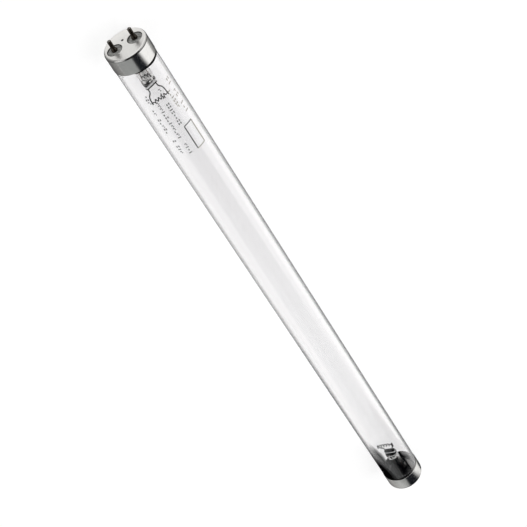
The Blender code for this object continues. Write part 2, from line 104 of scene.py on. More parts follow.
# Cap
CAP_WALL = 0.4 * MM
CAP_RIM_RADIUS = 1.2 * MM
SKIRT_EDGE_ROUND = 0.15 * MM
# Painted shade: a dark band along the crease under the rim, darker on one side
CREASE_START, CREASE_END = 0.7, 1.2
CREASE_FADE = 0.2
CREASE_SHADE_SIDE = (-6.0, -1.5)
CAP_EDGE_TINT = (0.36, 0.36, 0.36)
VENT_DIAMETER = 1.0 * MM
VENT_DROP = 4.2 * MM
# How far from the vent's centre the metal is darker
VENT_DARK_RANGE = (0.65, 0.95)

# Basing cement, which spilled out of the skirt on one side
CEMENT_SPILL = 2.4 * MM
CEMENT_SPILL_ANGLE = 60
CEMENT_SKIN = 0.08 * MM
CEMENT_LUMPS = 180
PALE_CEMENT = (0.80, 0.79, 0.77)
PALE_CEMENT_SIDE = (-6.8, -5.6)

# Insulating plate
PLATE_THICKNESS = 1.3 * MM
PLATE_EDGE_ROUND = 0.3 * MM
BOSS_DIAMETER = 8.6 * MM
BOSS_RECESS = 0.35 * MM
BOSS_EDGE_ROUND = 0.2 * MM

# Contact pins
PIN_DIAMETER = 2.35 * MM
PIN_BORE = 1.1 * MM
PIN_TIP_ROUND = 0.4 * MM
FOOT_DIAMETER = 3.5 * MM
FOOT_HEIGHT = 0.8 * MM
FOOT_TAPER = 1.6 * MM
RIVET_DIAMETER = 3.6 * MM
RIVET_THICKNESS = 0.6 * MM
CRIMP_HEIGHT = 4.4 * MM
CRIMP_DEPTH = 0.3 * MM
CRIMP_RADIUS = 0.6 * MM
SOLDER_RADIUS = 0.88

# Stem, press and exhaust tube
STEM_WALL = 0.9 * MM
STEM_DIAMETER = 9.0 * MM
PRESS_LENGTH = 2.4 * MM
PRESS_BLEND = 3.0 * MM
PRESS_WIDTH = 7.6 * MM
PRESS_NARROWING = 0.4 * MM
PRESS_EDGE = 0.8 * MM
PRESS_THICKNESS = 2.5 * MM
PRESS_ROUND = 0.3 * MM
PRESS_SQUARENESS = 6
ROUND_SQUARENESS = 2
EXHAUST_HOLE = 1.4 * MM
EXHAUST_DIAMETER = 3.0 * MM
EXHAUST_WALL = 0.5 * MM
EXHAUST_TIP_LENGTH = 2.6 * MM
PRESS_TURN = {"a": radians(-20), "b": radians(-30)}
# Bands across the press, the dark ones painted shade: start and end from its pinch, share and grey
# level
PRESS_BANDS = ((-1.0, -0.05, 0.95, 0.003), (0.3, 1.3, 0.75, 0.9), (1.6, 2.1, 0.95, 0.003))
PRESS_BAND_FADE = 0.15
# Half widths of the dark lines of painted shade at the press's tip and its start
TIP_LINE_HALF, PINCH_LINE_HALF = 0.65, 0.75

# Wires and coiled electrode
LEAD_DIAMETER = 0.5 * MM
LEAD_BEND_LENGTH = 1.8 * MM
SUPPORT_DIAMETER = 0.7 * MM
WELD_INSET = 2.0 * MM
SUPPORT_STRAIGHT = 3.1 * MM
SUPPORT_KINK = 1.3 * MM
SUPPORT_SPREAD = 9.4 * MM
COIL_RISE = 2.0 * MM
COIL_SPAN = 10.2 * MM
COIL_DIAMETER = 2.3 * MM
COIL_LEG = 1.3 * MM
COIL_TURNS = 4
COIL_TURN = {"a": radians(-5), "b": radians(-28)}
COIL_CORE = 0.6 * MM
FINE_WIRE = 0.14 * MM
FINE_PITCH = 0.17 * MM
HOOK_TAIL = 1.2 * MM
WIRE_GAP = 0.1 * MM

# Rows of marks on the glass: start and end along the tube from the base face,
# angle round the tube in degrees, height of a mark, step along, and ink
PRINT_ROWS = (
    (28, 53, 47, 2.6, 3.1, "pale"),
    (34, 48, 30, 1.9, 2.4, "pale"),
    (40, 57, 8, 2.0, 2.2, "dark"),
    (36, 66, -12, 1.9, 2.3, "dark"),
    (40, 59, -33, 1.8, 2.5, "grey"),
    (29, 36, -30, 1.8, 2.4, "grey"),
    (29, 37, 10, 1.6, 2.8, "grey"),
    (65, 76, -30, 1.9, 2.3, "grey"),
    (70, 77, -9, 1.9, 2.2, "dark"),
)
FRAME_START, FRAME_END = 59, 77
FRAME_LOW, FRAME_HIGH = 13, 40
MARK_LINE = 0.62 * MM
INK_LIFT = 0.006 * MM
INK_THICKNESS = 0.02 * MM
INK_WORN_SHARE = 0.08
INK_WEAR = 0.66
INKS = {"dark": (0.02, 0.02, 0.02), "grey": (0.06, 0.06, 0.06), "pale": (0.27, 0.25, 0.21)}
MARK_SEED = 7

# Mesh fineness
TUBE_SEGMENTS = 192
STEM_SEGMENTS = 96
PIN_SEGMENTS = 48
HOLE_SEGMENTS = 96
VENT_SEGMENTS = 32
ARC_STEPS = 8
BOSS_ARC_STEPS = 5
ARC_SUPPORT = 0.08 * MM
PIN_STEPS = 48
COIL_STEPS = 2400
WIRE_SIDES, FINE_WIRE_SIDES = 12, 6
BAR_STEPS = 4
SHARP_ANGLE = radians(38)
TINY = 0.000001

# Sizes that follow
FIT_GAP = 0.3 * MM
CAP_BORE = CAP_RADIUS - CAP_WALL
PIN_RADIUS = PIN_DIAMETER / 2
NECK_START = CEMENT_START
MOUTH_RADIUS = FLARE_RADIUS + FIT_GAP
NECK_RADIUS = MOUTH_RADIUS + MOUTH_ROUND
SHOULDER_END = SKIRT_LENGTH + SHOULDER_OVERHANG
SHOULDER_START = SHOULDER_END - SHOULDER_LENGTH
STEM_TIP_RADIUS = (PRESS_WIDTH + PRESS_NARROWING) / 2
HOLLOW_RADIUS = STEM_TIP_RADIUS - STEM_WALL
LEAD_OFFSET = PRESS_WIDTH / 2 - PRESS_EDGE
PRESS_START = PRESS_DEPTH - PRESS_LENGTH
NECK_DOWN = PRESS_START - PRESS_BLEND
HOLLOW_END = PRESS_START - STEM_WALL
EXHAUST_SEAT = HOLLOW_END - EXHAUST_DIAMETER
EXHAUST_SEAT_RADIUS = EXHAUST_DIAMETER / 2 + FIT_GAP
WELD_DEPTH = PRESS_DEPTH - WELD_INSET
HOOK_RADIUS = COIL_CORE / 2 + WIRE_GAP + SUPPORT_DIAMETER / 2


# Node trees

def grey(level):
    return (level, level, level)


def node(tree, kind, inputs=None, **properties):
    """Add a shader node.

    An input is a plain value, a socket, or a node, which gives its first output.
    """
    made = tree.nodes.new("ShaderNode" + kind)
    for name, value in properties.items():
        setattr(made, name, value)
    for name, value in (inputs or {}).items():
        if isinstance(value, bpy.types.Node):
            value = value.outputs[0]
        if isinstance(value, bpy.types.NodeSocket):
            tree.links.new(value, made.inputs[name])
        else:
            made.inputs[name].default_value = value
    return made


def new_material(name, paint, *values, absorbed=None):
    """A material whose surface is the shader that a paint function adds.

    Glass also gets the colour and density of what it absorbs.
    """
    made = bpy.data.materials.new(name)
    made.use_nodes = True
    tree = made.node_tree
    tree.nodes.clear()
    ends = {"Surface": paint(tree, *values)}
    if absorbed:
        colour, density = absorbed
        ends["Volume"] = node(
            tree, "VolumeAbsorption", {"Color": (*colour, 1), "Density": density}
        )
    node(tree, "OutputMaterial", ends)
    return made


def calc(tree, operation, *values):
    """One step of arithmetic."""
    return node(tree, "Math", dict(enumerate(values)), operation=operation).outputs[0]


def times(tree, first, second):
    return calc(tree, "MULTIPLY", first, second)


def measured(tree, operation, *vectors):
    """A number taken from vectors, such as a length or a distance."""
    made = node(tree, "VectorMath", dict(enumerate(vectors)), operation=operation)
    return made.outputs["Value"]


def object_place(tree, stretch=(1, 1, 1)):
    """The place on the piece, in millimetres, stretched along each axis."""
    inputs = {
        "Vector": node(tree, "TexCoord").outputs["Object"],
        "Scale": [part / MM for part in stretch],
    }
    return node(tree, "Mapping", inputs).outputs["Vector"]


def object_axis(tree, axis):
    """One coordinate of the place on the piece, in millimetres."""
    return node(tree, "SeparateXYZ", {0: object_place(tree)}).outputs[axis]


def from_axis(tree):
    """The distance from the piece's X axis, in millimetres."""
    return measured(tree, "LENGTH", object_place(tree, (0, 1, 1)))


def noise_value(tree, scale, detail=3.0, roughness=0.55, stretch=(1, 1, 1)):
    """Noise with its scale in features for each millimetre."""
    inputs = {"Scale": scale, "Detail": detail, "Roughness": roughness}
    inputs["Vector"] = object_place(tree, stretch)
    return node(tree, "TexNoise", inputs).outputs["Fac"]


def ramp(tree, value, low, high, start=0.3, end=0.7):
    """Move a value from its own start and end to a low and a high number."""
    limits = {"From Min": start, "From Max": end, "To Min": low, "To Max": high}
    return node(tree, "MapRange", {"Value": value, **limits}).outputs["Result"]


def band(tree, value, start, end, fade, most=1):
    """A share that is full between two values and fades out on both sides."""
    share = ramp(tree, value, 0, most, start - fade, start)
    return times(tree, share, ramp(tree, value, 1, 0, end, end + fade))


def blend(tree, share, first, second):
    """Mix two colours. The first is a plain colour or another node's socket."""
    if not isinstance(first, bpy.types.NodeSocket):
        first = (*first, 1)
    made = node(tree, "Mix", {"Factor": share, "A": first, "B": (*second, 1)}, data_type="RGBA")
    return made.outputs["Result"]


def painted_over(tree, share, shader, colour):
    """A dull paint that hides a share of another shader."""
    paint = node(tree, "BsdfDiffuse", {"Color": (*colour, 1)})
    return node(tree, "MixShader", {0: share, 1: shader, 2: paint})


def bump(tree, height, distance, strength=1.0):
    """A bump whose distance is in millimetres."""
    inputs = {"Height": height, "Distance": distance * MM, "Strength": strength}
    return node(tree, "Bump", inputs).outputs["Normal"]


def is_ray(tree, *kinds):
    """1 where the ray is of one of the kinds, and 0 elsewhere."""
    path = node(tree, "LightPath")
    found = path.outputs[f"Is {kinds[0]} Ray"]
    for kind in kinds[1:]:
        found = calc(tree, "MAXIMUM", found, path.outputs[f"Is {kind} Ray"])
    return found


# Materials of the lamp. Places and distances in them are in millimetres

def black_patch_share(tree):
    """How black the bulb's wall is beside end b."""
    along, across = object_axis(tree, "X"), object_axis(tree, "Y")
    reach = ramp(tree, along, 0, BLACK_PATCH_WIDTH, BLACK_PATCH_START, BLACK_PATCH_FULL)
    depth = calc(tree, "SUBTRACT", reach, across)
    depth = calc(tree, "ADD", depth, noise_value(tree, 0.25))
    edge = GLASS_RADIUS / MM + BLACK_PATCH_EDGE
    return ramp(tree, depth, 0, 1, edge, edge + BLACK_PATCH_FADE)


def bulb_shade_colour(tree):
    """Painted shade in the glass's colour: grey down the middle of the tube, most towards end a.
    Also black in a patch on one side of the wall beside end b.
    """
    faint = ramp(tree, object_axis(tree, "X"), 0, 1, MID_SHADE_START, MID_SHADE_FULL)
    across = calc(tree, "ABSOLUTE", object_axis(tree, "Y"))
    faint = times(tree, faint, ramp(tree, across, 1, MID_SHADE_SIDE_SHARE, *MID_SHADE_HALF_WIDTH))
    colour = blend(tree, faint, CLEAR_COLOUR, MID_SHADE_COLOUR)
    return blend(tree, black_patch_share(tree), colour, BLACK_PATCH_COLOUR)


def dulled_patch(tree, shader):
    """A dull black over the blackest part of the bulb's wall."""
    near_end = ramp(tree, object_axis(tree, "X"), 0, 1, DULL_PATCH_START, DULL_PATCH_FULL)
    share = times(tree, near_end, black_patch_share(tree))
    return painted_over(tree, share, shader, DULL_PATCH_COLOUR)


def flare_shade_colour(tree):
    """Painted shade on the stem's flare inside the cap: mottled dark grey."""
    return blend(tree, noise_value(tree, 1.2), grey(0.22), grey(0.05))


def caked(tree, shader):
    """Pale cement that ran down one side of the stem's flare."""
    turn = PRESS_TURN["b"]
    across = (0, cos(turn), -sin(turn))
    side = measured(tree, "DOT_PRODUCT", object_place(tree), across)
    share = ramp(tree, side, 1, 0, *PALE_CEMENT_SIDE)
    return painted_over(tree, share, shader, PALE_CEMENT)


def press_shade_bands(tree, shader):
    """The press: a pale band between two dark bands of painted shade, across the stem."""
    depth = object_axis(tree, "X")
    for start, end, most, level in PRESS_BANDS:
        start, end = start + PRESS_START / MM, end + PRESS_START / MM
        # Painted shade in the two dark bands; the middle band is pale
        share = band(tree, depth, start, end, PRESS_BAND_FADE, most)
        shader = painted_over(tree, share, shader, grey(level))
    return shader


def stem_colour(tree):
    """Frosted patches on the stem, and dark lines of painted shade at the press's tip and where it
    begins.
    """
    share = ramp(tree, noise_value(tree, 1.6, 4.0, 0.7), 0, 1, 0.4, 0.65)
    colour = blend(tree, share, (0.99, 0.99, 0.985), (0.87, 0.87, 0.86))
    depth = object_axis(tree, "X")
    # Painted shade: dark lines at the press's tip and where it begins
    for middle, half in ((PRESS_DEPTH, TIP_LINE_HALF), (PRESS_START, PINCH_LINE_HALF)):
        offset = calc(tree, "ABSOLUTE", calc(tree, "SUBTRACT", depth, middle / MM))
        share = ramp(tree, offset, 1, 0, half * 0.6, half)
        colour = blend(tree, share, colour, grey(0.004))
    return colour


def glass(tree, make_colour, cover, ior, specular, waviness, roughness, edge):
    """Clear glass that lets light through to what it holds.

    The edge colour is painted shade where the surface turns away from the view,
    and a cover lies on part of it. What the material absorbs darkens it with the
    length of glass that a ray runs through.
    """
    facing = node(tree, "LayerWeight", {"Blend": 0.5}).outputs["Facing"]
    # Painted shade: the glass darkens to its edge colour where it turns away from the view
    turned_away = ramp(tree, facing, 0, 1, 0.70, 0.81)
    waves = noise_value(tree, 0.35, 2.0, stretch=(0.12, 1, 1))
    specks = noise_value(tree, 2.5, 4.0)
    inputs = {
        "Base Color": blend(tree, turned_away, make_colour(tree), edge),
        "Roughness": ramp(tree, specks, *roughness, 0.45, 0.75),
        "Normal": bump(tree, waves, waviness),
        "IOR": ior,
        "Specular IOR Level": specular,
        "Transmission Weight": 1.0,
    }
    shader = node(tree, "BsdfPrincipled", inputs)
    covered = cover(tree, shader)
    clear = node(tree, "BsdfTransparent", {"Color": (*GLASS_SHADOW, 1)})
    return node(tree, "MixShader", {0: is_ray(tree, "Shadow"), 1: covered, 2: clear})


def cap_metal(tree):
    """Drawn aluminium: fine draw lines along the skirt, faint blotches, satin.

    Its inside is painted near-black as shade, a band of painted shade that is
    darker on one side runs along the crease at the rim, and the metal is darker round the vent.
    """
    lines = noise_value(tree, 9.0, stretch=(0.06, 1, 1))
    blotches = noise_value(tree, 0.6, 4.0)
    grain = noise_value(tree, 14.0, 2.0)
    depth = object_axis(tree, "X")
    rough = calc(tree, "ADD", ramp(tree, lines, -0.03, 0.03), ramp(tree, blotches, 0.15, 0.22))
    rough = calc(tree, "ADD", rough, ramp(tree, depth, 0.16, 0, 0.05, 0.4))
    bore = CAP_BORE / MM
    # Painted shade: the cap's inner faces go near-black
    inside_shade = ramp(tree, from_axis(tree), 1, 0, bore + 0.05, bore + 0.15)
    inside_shade = times(tree, inside_shade, ramp(tree, depth, 0, 1, 0.25, 0.35))
    # Painted shade: a dark band along the crease under the rim, darker on one side
    crease_shade = band(tree, depth, CREASE_START, CREASE_END, CREASE_FADE)
    crease_shade = times(tree, crease_shade, ramp(tree, object_axis(tree, "Y"), 0.62, 0.93, *CREASE_SHADE_SIDE))
    # The metal is darker round the vent
    hole = measured(tree, "DISTANCE", object_place(tree), (0, 0, -VENT_DROP / MM))
    hole = ramp(tree, hole, 0.9, 0, *VENT_DARK_RANGE)
    colour = blend(tree, blotches, (0.82, 0.815, 0.79), (0.98, 0.96, 0.935))
    for share, level in ((hole, 0.02), (crease_shade, 0.06), (inside_shade, 0.005)):
        colour = blend(tree, share, colour, grey(level))
    inputs = {
        "Base Color": colour,
        "Metallic": 1.0,
        "Specular Tint": (*CAP_EDGE_TINT, 1),
        "Roughness": rough,
        "Normal": bump(tree, calc(tree, "ADD", lines, grain), 0.006, 0.5),
    }
    return node(tree, "BsdfPrincipled", inputs)


def board(tree):
    """Grey moulded board with fine fibres and specks, with painted shade round the rims of its two
    bosses and over the board behind them.
    """
    fibres = noise_value(tree, 7.0, stretch=(1, 0.25, 1.6))
    share = times(tree, noise_value(tree, 0.45, 5.0, 0.7), fibres)
    share = ramp(tree, share, 0, 1, 0.16, 0.36)
    colour = blend(tree, share, (0.13, 0.13, 0.12), (0.72, 0.72, 0.70))
    place = node(tree, "VectorMath", {0: object_place(tree, (0, 1, 1))}, operation="ABSOLUTE")
    from_pin = measured(tree, "DISTANCE", place, (0, PIN_OFFSET / MM, 0))
    rim = BOSS_DIAMETER / 2 / MM
    # Painted shade: a dark ring at the edge of each boss, in its recess
    boss_rim_shade = ramp(tree, from_pin, 0, 0.6, rim - 0.5, rim - 0.2)
    colour = blend(tree, boss_rim_shade, colour, grey(0.02))
    # Painted shade: all of the board behind the bosses' faces goes near-black
    recess = BOSS_RECESS / MM
    inside_shade = ramp(tree, object_axis(tree, "X"), 0, 1, recess + 0.06, recess + 0.2)
    inputs = {
        "Base Color": blend(tree, inside_shade, colour, grey(0.006)),
        "Specular IOR Level": 0.15,
        "Roughness": ramp(tree, fibres, 0.55, 0.8),
        "Normal": bump(tree, fibres, 0.05),
    }
    return node(tree, "BsdfPrincipled", inputs)


def soldered(tree, colour):
    """Bright solder round the bore at a pin's tip."""
    end = -PIN_LENGTH / MM
    tip = ramp(tree, object_axis(tree, "X"), 1, 0, end + 0.1, end + 0.2)
    core = ramp(tree, from_axis(tree), 1, 0, SOLDER_RADIUS - 0.1, SOLDER_RADIUS)
    return blend(tree, times(tree, tip, core), colour, (0.62, 0.61, 0.58))


def metal(tree, dark, light, smooth, rough, scale, depth, finish=None):
    """Bare or plated metal whose tarnish comes and goes in patches."""
    patches = noise_value(tree, scale, 4.0, 0.6)
    scratches = noise_value(tree, 5.0, 2.0, stretch=(3, 1, 1))
    colour = blend(tree, ramp(tree, patches, 0, 1), dark, light)
    if finish:
        colour = finish(tree, colour)
    inputs = {
        "Base Color": colour,
        "Metallic": 1.0,
        "Roughness": ramp(tree, patches, rough, smooth),
        "Normal": bump(tree, scratches, depth),
    }
    return node(tree, "BsdfPrincipled", inputs)


def cement(tree):
    """Baked cement: dull and grainy, pale down one side, and near-black elsewhere as painted shade.
    """
    grain = noise_value(tree, 3.0, 5.0, 0.7)
    pale = ramp(tree, object_axis(tree, "Y"), 1, 0, *PALE_CEMENT_SIDE)
    # Painted shade: near-black cement inside the cap and where it spills past the skirt
    colour = blend(tree, grain, grey(0.004), (0.014, 0.014, 0.013))
    inputs = {
        "Base Color": blend(tree, pale, colour, PALE_CEMENT),
        "Roughness": ramp(tree, grain, 0.7, 0.95),
        "Specular IOR Level": 0.15,
        "Normal": bump(tree, grain, 0.15),
    }
    return node(tree, "BsdfPrincipled", inputs)


def coating(tree):
    """Tungsten coil under a grey emissive coating that has flaked in places."""
    flakes = noise_value(tree, 1.6, 5.0, 0.7)
    share = ramp(tree, flakes, 0, 1, 0.52, 0.72)
    inputs = {
        "Base Color": blend(tree, share, grey(0.006), (0.055, 0.055, 0.052)),
        "Metallic": 0.4,
        "Roughness": ramp(tree, flakes, 0.4, 0.8),
        "Normal": bump(tree, flakes, 0.03),
    }
    return node(tree, "BsdfPrincipled", inputs)


def ink(tree, colour):
    """Baked-on ink, worn through in specks."""
    specks = noise_value(tree, 2.2, 3.0, 0.6)
    inputs = {
        "Base Color": blend(tree, specks, colour, [part * 1.6 for part in colour]),
        "Roughness": 0.6,
        "Alpha": ramp(tree, specks, 1.0, 0.0, INK_WEAR, INK_WEAR + 0.08),
    }
    return node(tree, "BsdfPrincipled", inputs)


# Mesh helpers

def finished_mesh(bm, name):
    bmesh.ops.remove_doubles(bm, verts=bm.verts, dist=TINY)
    bmesh.ops.recalc_face_normals(bm, faces=bm.faces)
    mesh = bpy.data.meshes.new(name)
    bm.to_mesh(mesh)
    bm.free()
    mesh.shade_smooth()
    mesh.set_sharp_from_angle(angle=SHARP_ANGLE)
    return mesh


def filleted(corners, steps=ARC_STEPS):
    """Round the corners (depth, radius, fillet) of a profile.

    A point just outside each arc keeps the flat beside it flat.
    """
    points, last = [], len(corners) - 1
    for index, (depth, radius, fillet) in enumerate(corners):
        corner = Vector((depth, radius))
        if fillet == 0 or index in (0, last):
            points.append(tuple(corner))
            continue
        back = (Vector(corners[index - 1][:2]) - corner).normalized()
        on = (Vector(corners[index + 1][:2]) - corner).normalized()
        half = back.angle(on) / 2
        reach = fillet / tan(half)
        centre = corner + (back + on).normalized() * (fillet / sin(half))
        first = (corner + back * reach - centre).normalized()
        second = (corner + on * reach - centre).normalized()
        points.append(tuple(corner + back * (reach + ARC_SUPPORT)))
        for i in range(steps + 1):
            points.append(tuple(centre + fillet * first.slerp(second, i / steps)))
        points.append(tuple(corner + on * (reach + ARC_SUPPORT)))
    return points


def arc(centre, radius, start, end, steps=ARC_STEPS):
    """Points (depth, radius) on an arc, with its angles in degrees."""
    angles = [radians(start + (end - start) * i / steps) for i in range(steps + 1)]
    return [(centre[0] + radius * cos(a), centre[1] + radius * sin(a)) for a in angles]


def in_scene(name, data):
    """Add an object to the scene."""
    item = bpy.data.objects.new(name, data)
    bpy.context.scene.collection.objects.link(item)
    return item


def skinned(name, rings, closed=False):
    """Skin rows of points, each a ring of one length or a single point."""
    bm = bmesh.new()
    rows = [[bm.verts.new(point) for point in ring] for ring in rings]
    pairs = list(zip(rows, rows[1:]))
    if closed:
        pairs.append((rows[-1], rows[0]))
    for first, second in pairs:
        count = max(len(first), len(second))
        for i in range(count):
            j = (i + 1) % count
            corners = [
                first[i % len(first)],
                first[j % len(first)],
                second[j % len(second)],
                second[i % len(second)],
            ]
            bm.faces.new(list(dict.fromkeys(corners)))
    return finished_mesh(bm, name)


def turned(name, profile, segments, closed=False):
    """Spin a (depth, radius) profile about the X axis."""
    rings = []
    for depth, radius in profile:
        if radius < TINY:
            rings.append([(depth, 0, 0)])
            continue
        angles = [2 * pi * i / segments for i in range(segments)]
        rings.append([(depth, radius * sin(a), radius * cos(a)) for a in angles])
    return skinned(name, rings, closed)


def bar(name, axis, centre, radius, length, segments):
    """A plain round bar along X or Z that cuts a hole."""
    bm = bmesh.new()
    bmesh.ops.create_cone(
        bm, cap_ends=True, segments=segments, radius1=radius, radius2=radius, depth=length
    )
    item = in_scene(name, finished_mesh(bm, name))
    if axis == "X":
        item.rotation_euler.y = pi / 2
    item.location = centre
    return item


def with_booleans(mesh, cuts, bosses=()):
    """Join bosses to a mesh, then cut holes into it, and remove these helpers."""
    item = in_scene("blank", mesh)
    steps = [("UNION", boss) for boss in bosses] + [("DIFFERENCE", cut) for cut in cuts]
    for operation, helper in steps:
        modifier = item.modifiers.new(helper.name, "BOOLEAN")
        modifier.operation = operation
        modifier.object = helper
        modifier.solver = "EXACT"
    bpy.context.view_layer.update()
    evaluated = item.evaluated_get(bpy.context.evaluated_depsgraph_get())
    made = bpy.data.meshes.new_from_object(evaluated)
    made.name = mesh.name
    made.shade_smooth()
    made.set_sharp_from_angle(angle=SHARP_ANGLE)
    for helper in (*bosses, *cuts, item):
        bpy.data.objects.remove(helper, do_unlink=True)
    return made


def turned_point(depth, across, up, angle):
    """A point of a frame that is turned about the tube's axis."""
    cosine, sine = cos(angle), sin(angle)
    return Vector((depth, across * cosine - up * sine, across * sine + up * cosine))


def rounded_path(corners, radius, steps=ARC_STEPS):
    """Replace each inner corner of a path by a short curve."""
    path = [Vector(corners[0])]
    for before, corner, after in zip(corners, corners[1:], corners[2:]):
        back = shortened(corner, before, radius)
        on = shortened(corner, after, radius)
        for i in range(steps + 1):
            t = i / steps
            path.append((1 - t) ** 2 * back + 2 * t * (1 - t) * corner + t**2 * on)
    path.append(Vector(corners[-1]))
    return path


def shortened(start, end, distance):
    """The point at a distance from start towards end, at most halfway."""
    share = min(distance / (end - start).length, 0.45)
    return start.lerp(end, share)


def wire(name, points, diameter, sides=WIRE_SIDES):
    """A round wire along a row of points, closed by a low dome at both ends."""
    radius = diameter / 2
    forward = (points[1] - points[0]).normalized()
    side = forward.orthogonal().normalized()
    rings = [[tuple(points[0] - forward * radius / 2)]]
    for index, point in enumerate(points):
        before = points[max(index - 1, 0)]
        after = points[min(index + 1, len(points) - 1)]
        turned_forward = (after - before).normalized()
        side = forward.rotation_difference(turned_forward) @ side
        forward = turned_forward
        side = (side - forward * side.dot(forward)).normalized()
        up = forward.cross(side)
        angles = [2 * pi * i / sides for i in range(sides)]
        rings.append([tuple(point + radius * (cos(a) * side + sin(a) * up)) for a in angles])
    rings.append([tuple(points[-1] + forward * radius / 2)])
    return skinned(name, rings)


# Placing the pieces

def end_matrix(end):
    side = -1 if end == "a" else 1
    turn = Matrix.Rotation(0 if end == "a" else pi, 4, "Z")
    return Matrix.Translation((side * BASE_X, 0, AXIS_HEIGHT)) @ turn


def show(name, data, matrix, made_of, slot, *nodes):
    """Add a finished piece that stands for its CAD nodes."""
    piece = in_scene(name, data)
    piece.matrix_world = matrix
    if not data.materials:
        data.materials.append(made_of)
    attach(piece, "root")
    if nodes:
        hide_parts(*nodes)


# Shapes of the pieces

def shoulder_radius(depth):
    """The bulb's outer radius, drawn in smoothly from full size to the neck."""
    share = min(max((depth - SHOULDER_START) / SHOULDER_LENGTH, 0.0), 1.0)
    ease = (1 - cos(pi * share)) / 2
    return NECK_RADIUS + (GLASS_RADIUS - NECK_RADIUS) * ease


def bulb_mesh():
    """The whole glass wall, open at both mouths."""
    steps = 2 * ARC_STEPS
    sides = []
    for inset in (0.0, GLASS_WALL):
        half = arc((NECK_START, MOUTH_RADIUS), MOUTH_ROUND - inset, 180, 90)
        for i in range(steps + 1):
            depth = SHOULDER_START + SHOULDER_LENGTH * i / steps
            half.append((depth, shoulder_radius(depth) - inset))
        half.append((SHOULDER_END + MM, GLASS_RADIUS - inset))
        near = [(depth - BASE_X, radius) for depth, radius in half]
        sides.append(near + [(-depth, radius) for depth, radius in reversed(near)])
    return turned("bulb_glass", sides[0] + sides[1][::-1], TUBE_SEGMENTS, closed=True)


def cap_mesh():
    """Drawn cup with a rounded rim, two pin holes and a vent."""
    corners = [(0, 0, 0), (0, CAP_RADIUS, CAP_RIM_RADIUS), (SKIRT_LENGTH, CAP_RADIUS, 0)]
    outside = filleted(corners)[:-1]
    edge = SKIRT_EDGE_ROUND
    outside += arc((SKIRT_LENGTH - edge, CAP_RADIUS - edge), edge, 90, 0, 4)
    corners = [
        (CAP_WALL, 0, 0),
        (CAP_WALL, CAP_BORE, CAP_RIM_RADIUS - CAP_WALL),
        (SKIRT_LENGTH, CAP_BORE, 0),
    ]
    blank = turned("cap_shell", outside + filleted(corners)[::-1], TUBE_SEGMENTS)
    holes = []
    for side in (-1, 1):
        centre = (CAP_WALL / 2, side * PIN_OFFSET, 0)
        radius = BOSS_DIAMETER / 2 + FIT_GAP
        holes.append(bar("pin_hole", "X", centre, radius, 4 * CAP_WALL, HOLE_SEGMENTS))
    centre = (CAP_WALL / 2, 0, -VENT_DROP)
    holes.append(bar("vent", "X", centre, VENT_DIAMETER / 2, 4 * CAP_WALL, VENT_SEGMENTS))
    return with_booleans(blank, holes)


def disc(front, back, radius, fillet, steps):
    """The profile of a disc whose front edge is rounded."""
    corners = ((front, 0, 0), (front, radius, fillet), (back, radius, 0), (back, 0, 0))
    return filleted(corners, steps)


def insulator_mesh():
    """Round plate with two bosses that fill the cap's holes."""
    front = PLATE_BACK - PLATE_THICKNESS
    plate = disc(front, PLATE_BACK, PLATE_RADIUS, PLATE_EDGE_ROUND, ARC_STEPS)
    blank = turned("insulating_plate", plate, TUBE_SEGMENTS // 2)
    boss_back = front + PLATE_THICKNESS / 2
    profile = disc(BOSS_RECESS, boss_back, BOSS_DIAMETER / 2, BOSS_EDGE_ROUND, BOSS_ARC_STEPS)
    bosses, holes = [], []
    for side in (-1, 1):
        bosses.append(in_scene("boss", turned("boss", profile, HOLE_SEGMENTS)))
        bosses[-1].location = (0, side * PIN_OFFSET, 0)
        centre = (PLATE_BACK / 2, side * PIN_OFFSET, 0)
        radius = PIN_RADIUS + WIRE_GAP
        holes.append(bar("shank_hole", "X", centre, radius, 3 * PLATE_BACK, PIN_SEGMENTS))
    return with_booleans(blank, holes, bosses)


def pin_mesh():
    """Hollow pin with a flared foot and two crimps that grip its lead."""
    foot = BOSS_RECESS - WIRE_GAP
    waist = foot - FOOT_HEIGHT - FOOT_TAPER
    outside = arc((PIN_TIP_ROUND - PIN_LENGTH, PIN_RADIUS - PIN_TIP_ROUND), PIN_TIP_ROUND, 180, 90)
    start = outside[-1][0]
    for i in range(1, PIN_STEPS + 1):
        outside.append((start + (waist - start) * i / PIN_STEPS, PIN_RADIUS))
    for i in range(1, ARC_STEPS + 1):
        share = i / ARC_STEPS
        ease = share * share * (3 - 2 * share)
        radius = PIN_RADIUS + (FOOT_DIAMETER / 2 - PIN_RADIUS) * ease
        outside.append((waist + FOOT_TAPER * share, radius))
    rivet = PIN_BACK - RIVET_THICKNESS
    outside += [
        (foot, FOOT_DIAMETER / 2),
        (foot, PIN_RADIUS),
        (rivet, PIN_RADIUS),
        (rivet, RIVET_DIAMETER / 2),
        (PIN_BACK, RIVET_DIAMETER / 2),
    ]
    tip = -PIN_LENGTH
    inside = [(PIN_BACK, PIN_BORE / 2), (tip + PIN_TIP_ROUND / 2, PIN_BORE / 2)]
    inside.append((tip, PIN_BORE / 2 + PIN_TIP_ROUND / 4))
    mesh = turned("contact_pin", outside + inside, PIN_SEGMENTS, closed=True)
    for vertex in mesh.vertices:
        offset = abs(vertex.co.x + CRIMP_HEIGHT)
        if offset < CRIMP_RADIUS and vertex.co.yz.length > PIN_BORE / 2 + WIRE_GAP:
            bite = sqrt(CRIMP_RADIUS**2 - offset**2)
            limit = PIN_RADIUS - CRIMP_DEPTH + CRIMP_RADIUS - bite
            vertex.co.z = min(max(vertex.co.z, -limit), limit)
    return mesh


